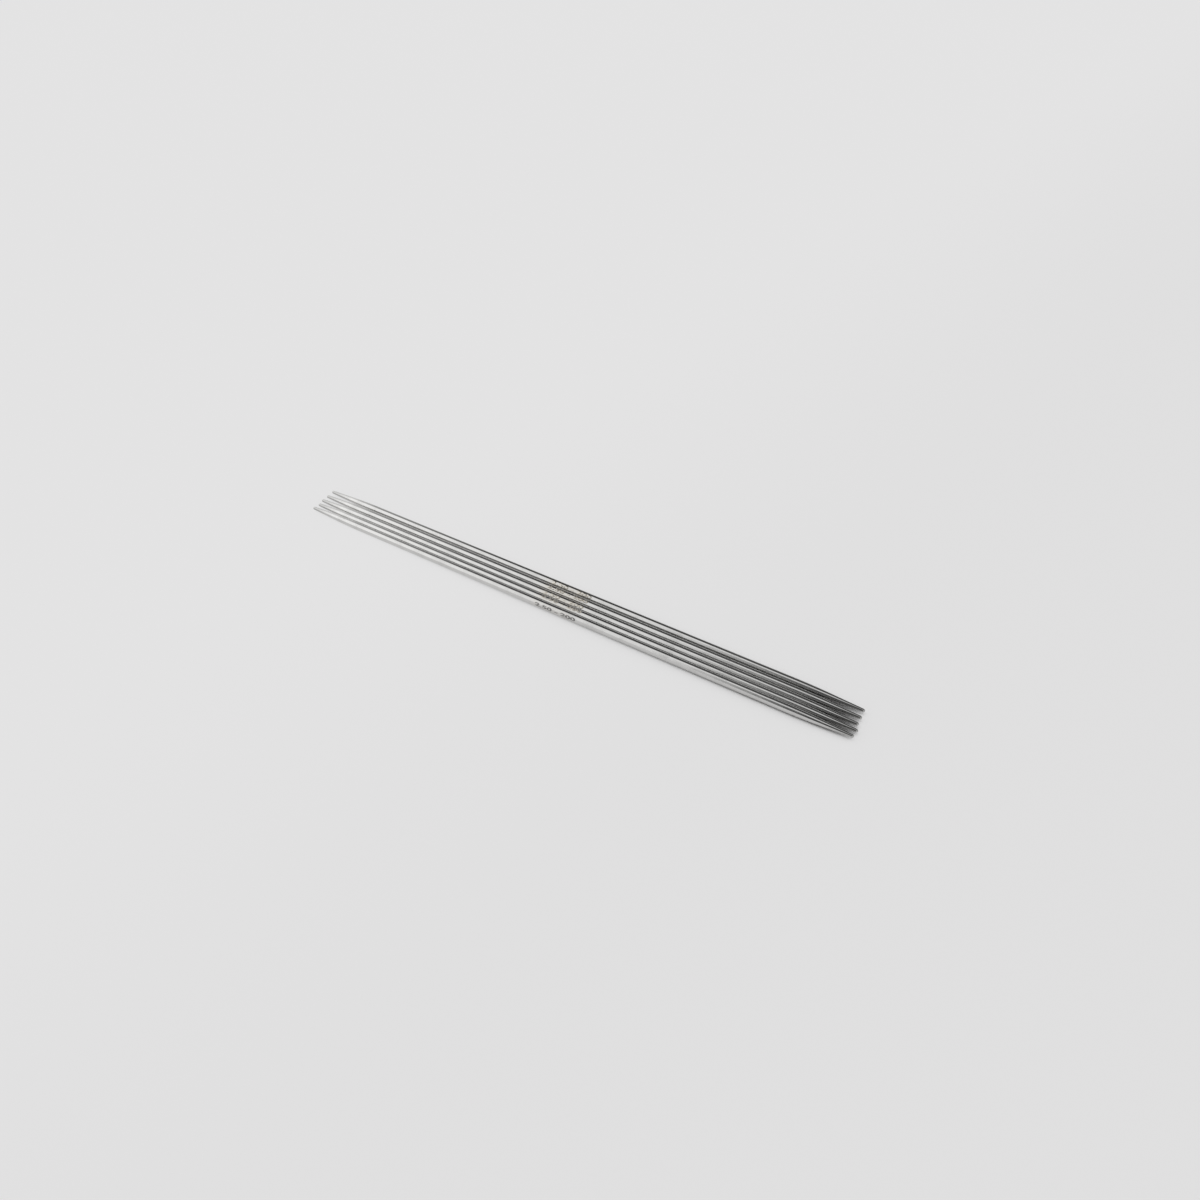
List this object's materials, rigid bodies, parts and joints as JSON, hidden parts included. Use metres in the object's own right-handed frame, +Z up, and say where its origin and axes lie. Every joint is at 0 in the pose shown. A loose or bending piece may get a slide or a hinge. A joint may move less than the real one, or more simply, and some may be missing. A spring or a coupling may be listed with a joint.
{
  "type": "double-pointed knitting needle set",
  "caption": "Straight double-pointed knitting needles of polished steel, laid side by side: slim round shafts with a long taper and a rounded nose at each end.",
  "frame": {"origin": "middle of the set's footprint, on the surface that the needles lie on", "axes": "+X along the needles, towards the end that is nearest in the picture; +Y across the set, from the front needle to the back one; +Z up"},
  "size_m": [0.2024, 0.0136, 0.0025],
  "materials": {
    "polished_steel": "polished bare stainless steel with fine lengthwise draw lines",
    "size_mark": "dull dark laser-etched size number on the steel"
  },
  "bodies": {
    "needle_1": {"needle_1": "polished_steel"},
    "needle_2": {"needle_2": "polished_steel"},
    "needle_3": {"needle_3": "polished_steel"},
    "needle_4": {"needle_4": "polished_steel"},
    "needle_5": {"needle_5": "polished_steel"}
  },
  "joints": [
    {"name": "needle_1_draw", "type": "slide", "parent": "needle_3", "child": "needle_1", "axis": [1, 0, 0], "range_m": [-0.205, 0.205]},
    {"name": "needle_2_draw", "type": "slide", "parent": "needle_3", "child": "needle_2", "axis": [1, 0, 0], "range_m": [-0.205, 0.205]},
    {"name": "needle_4_draw", "type": "slide", "parent": "needle_3", "child": "needle_4", "axis": [1, 0, 0], "range_m": [-0.205, 0.205]},
    {"name": "needle_5_draw", "type": "slide", "parent": "needle_3", "child": "needle_5", "axis": [1, 0, 0], "range_m": [-0.205, 0.205]}
  ]
}
